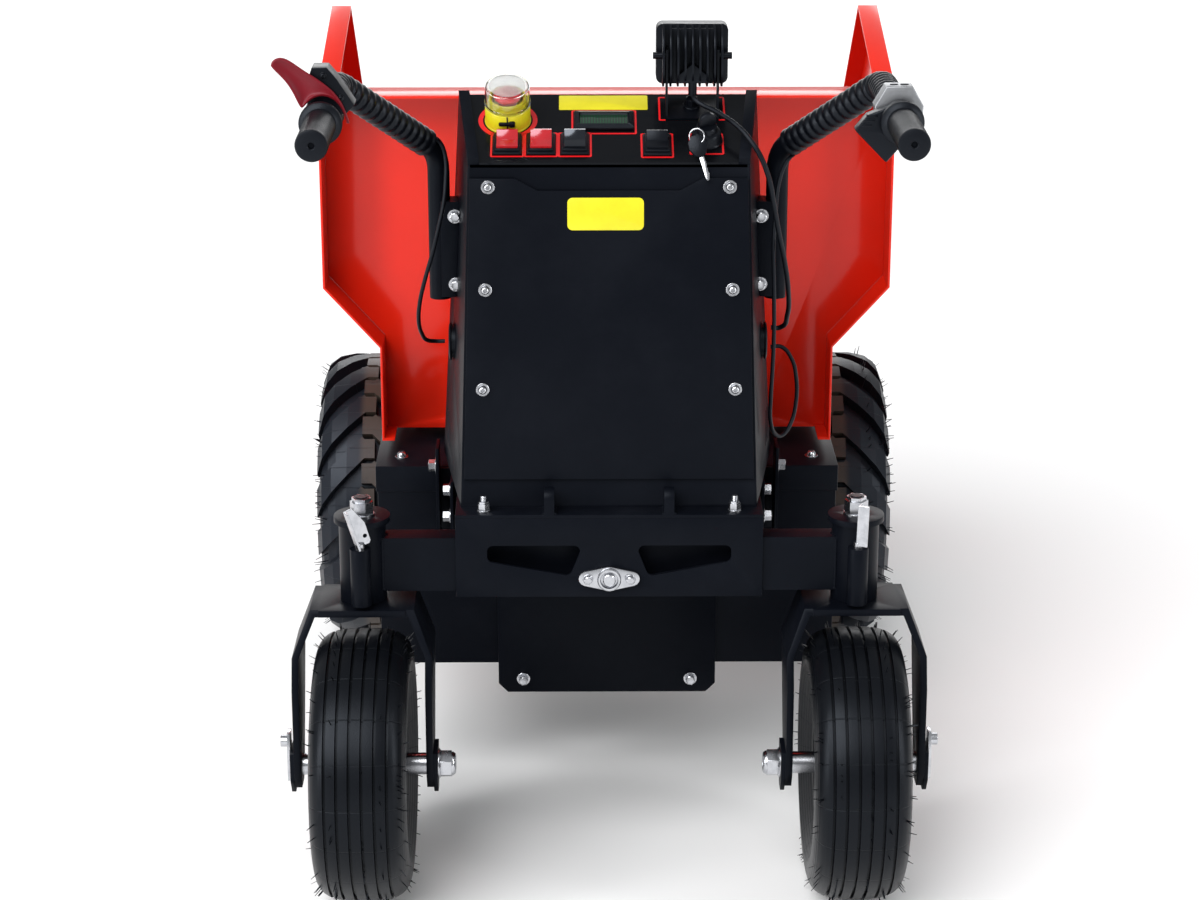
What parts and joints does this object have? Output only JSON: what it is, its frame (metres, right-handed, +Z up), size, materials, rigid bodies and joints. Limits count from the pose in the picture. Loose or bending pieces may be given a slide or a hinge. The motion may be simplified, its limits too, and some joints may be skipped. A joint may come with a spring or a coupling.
{
  "type": "walk-behind electric mini dumper",
  "caption": "Pedestrian-controlled electric mini dumper with a front-tipping steel skip, lugged drive wheels, swivel rear casters and a console with handlebars.",
  "frame": {"origin": "on the ground, midway between the grips' rear ends and the skip's front lip, on the machine's middle plane", "axes": "+Y forwards to the skip's lip, +X to the operator's right, +Z up"},
  "size_m": [0.808, 1.35, 1.03],
  "materials": {
    "black_powder": "satin black powder coat",
    "red_gloss": "gloss red paint",
    "zinc": "bright zinc plate",
    "tyre_rubber": "matte tyre rubber",
    "black_plastic": "moulded black plastic",
    "panel_gloss": "gloss black panel",
    "yellow_plastic": "yellow plastic",
    "red_plastic": "red plastic",
    "clear_plastic": "clear plastic",
    "lamp_glass": "clear lens",
    "soft_rubber": "matte rubber",
    "cable_black": "cable sheath",
    "battery_case": "moulded case",
    "cast_housing": "black cast housing",
    "motor_case": "dark coated aluminium",
    "actuator_case": "grey coated aluminium",
    "rim_black": "black painted steel"
  },
  "bodies": {
    "chassis": {"chassis_box": "black_powder", "battery_pack": "battery_case", "belly_tray": "black_powder", "front_subframe": "black_powder", "tip_pin": "zinc", "transaxle": "cast_housing", "drive_motor": "motor_case", "rear_spine": "black_powder", "rear_apron": "black_powder", "spine_brackets": "black_powder", "rear_beam": "black_powder", "beam_pivot": "zinc", "lock_pins": "zinc", "console_shell": "black_powder", "console_cover": "black_powder", "control_panel": "panel_gloss", "stop_base": "yellow_plastic", "stop_button": "red_plastic", "stop_cover": "clear_plastic", "rocker_switches": "black_plastic", "rocker_lenses": "red_plastic", "battery_gauge": "black_plastic", "key_switch": "black_plastic", "lamp_bracket": "black_plastic", "lamp_housing": "black_powder", "lamp_lens": "lamp_glass", "bar_brackets": "black_powder", "handlebars": "black_powder", "bar_sleeves": "black_plastic", "grips": "soft_rubber", "brake_lever": "red_plastic", "lever_clamp": "black_plastic", "throttle_clamp": "zinc", "throttle_housing": "black_plastic", "grommets": "soft_rubber", "cable_left": "cable_black", "cable_right": "cable_black", "lamp_cable": "cable_black"},
    "skip": {"skip_floor": "red_gloss", "skip_sides": "red_gloss", "skip_rear_wall": "red_gloss", "skip_frame": "red_gloss"},
    "actuator_barrel_body": {"actuator_barrel": "actuator_case"},
    "actuator_rod_body": {"actuator_rod": "zinc"},
    "drive_wheel_left": {"drive_tyre_left": "tyre_rubber", "drive_rim_left": "rim_black"},
    "caster_left": {"fork_left": "black_powder", "swivel_bolt_left": "zinc", "caster_axle_left": "zinc"},
    "caster_wheel_left": {"caster_tyre_left": "tyre_rubber", "caster_rim_left": "rim_black"},
    "drive_wheel_right": {"drive_tyre_right": "tyre_rubber", "drive_rim_right": "rim_black"},
    "caster_right": {"fork_right": "black_powder", "swivel_bolt_right": "zinc", "caster_axle_right": "zinc"},
    "caster_wheel_right": {"caster_tyre_right": "tyre_rubber", "caster_rim_right": "rim_black"}
  },
  "joints": [
    {"name": "skip_tip", "type": "hinge", "parent": "chassis", "child": "skip", "pos_m": [0, 0.535, 0.43], "axis": [-1, 0, 0], "range_deg": [0, 60]},
    {"name": "actuator_swing", "type": "hinge", "parent": "chassis", "child": "actuator_barrel_body", "pos_m": [0.068, 0.245, 0.2], "axis": [1, 0, 0], "range_deg": [0, 4]},
    {"name": "actuator_extend", "type": "slide", "parent": "actuator_barrel_body", "child": "actuator_rod_body", "axis": [0, 0.6912, 0.7226], "range_m": [0, 0.068]},
    {"name": "drive_left_spin", "type": "hinge", "parent": "chassis", "child": "drive_wheel_left", "pos_m": [-0.33, 0.43, 0.205], "axis": [-1, 0, 0], "continuous": true},
    {"name": "caster_left_swivel", "type": "hinge", "parent": "chassis", "child": "caster_left", "pos_m": [-0.29, -0.362, 0.4], "axis": [0, 0, 1], "continuous": true},
    {"name": "caster_left_spin", "type": "hinge", "parent": "caster_left", "child": "caster_wheel_left", "pos_m": [-0.29, -0.415, 0.161], "axis": [-1, 0, 0], "continuous": true},
    {"name": "drive_right_spin", "type": "hinge", "parent": "chassis", "child": "drive_wheel_right", "pos_m": [0.33, 0.43, 0.205], "axis": [-1, 0, 0], "continuous": true},
    {"name": "caster_right_swivel", "type": "hinge", "parent": "chassis", "child": "caster_right", "pos_m": [0.29, -0.362, 0.4], "axis": [0, 0, 1], "continuous": true},
    {"name": "caster_right_spin", "type": "hinge", "parent": "caster_right", "child": "caster_wheel_right", "pos_m": [0.29, -0.415, 0.161], "axis": [-1, 0, 0], "continuous": true}
  ],
  "couplings": [
    {"joint": "actuator_swing", "follows": "skip_tip", "ratio": 0.0644},
    {"joint": "actuator_extend", "follows": "skip_tip", "m_per_rad": 0.0639}
  ]
}
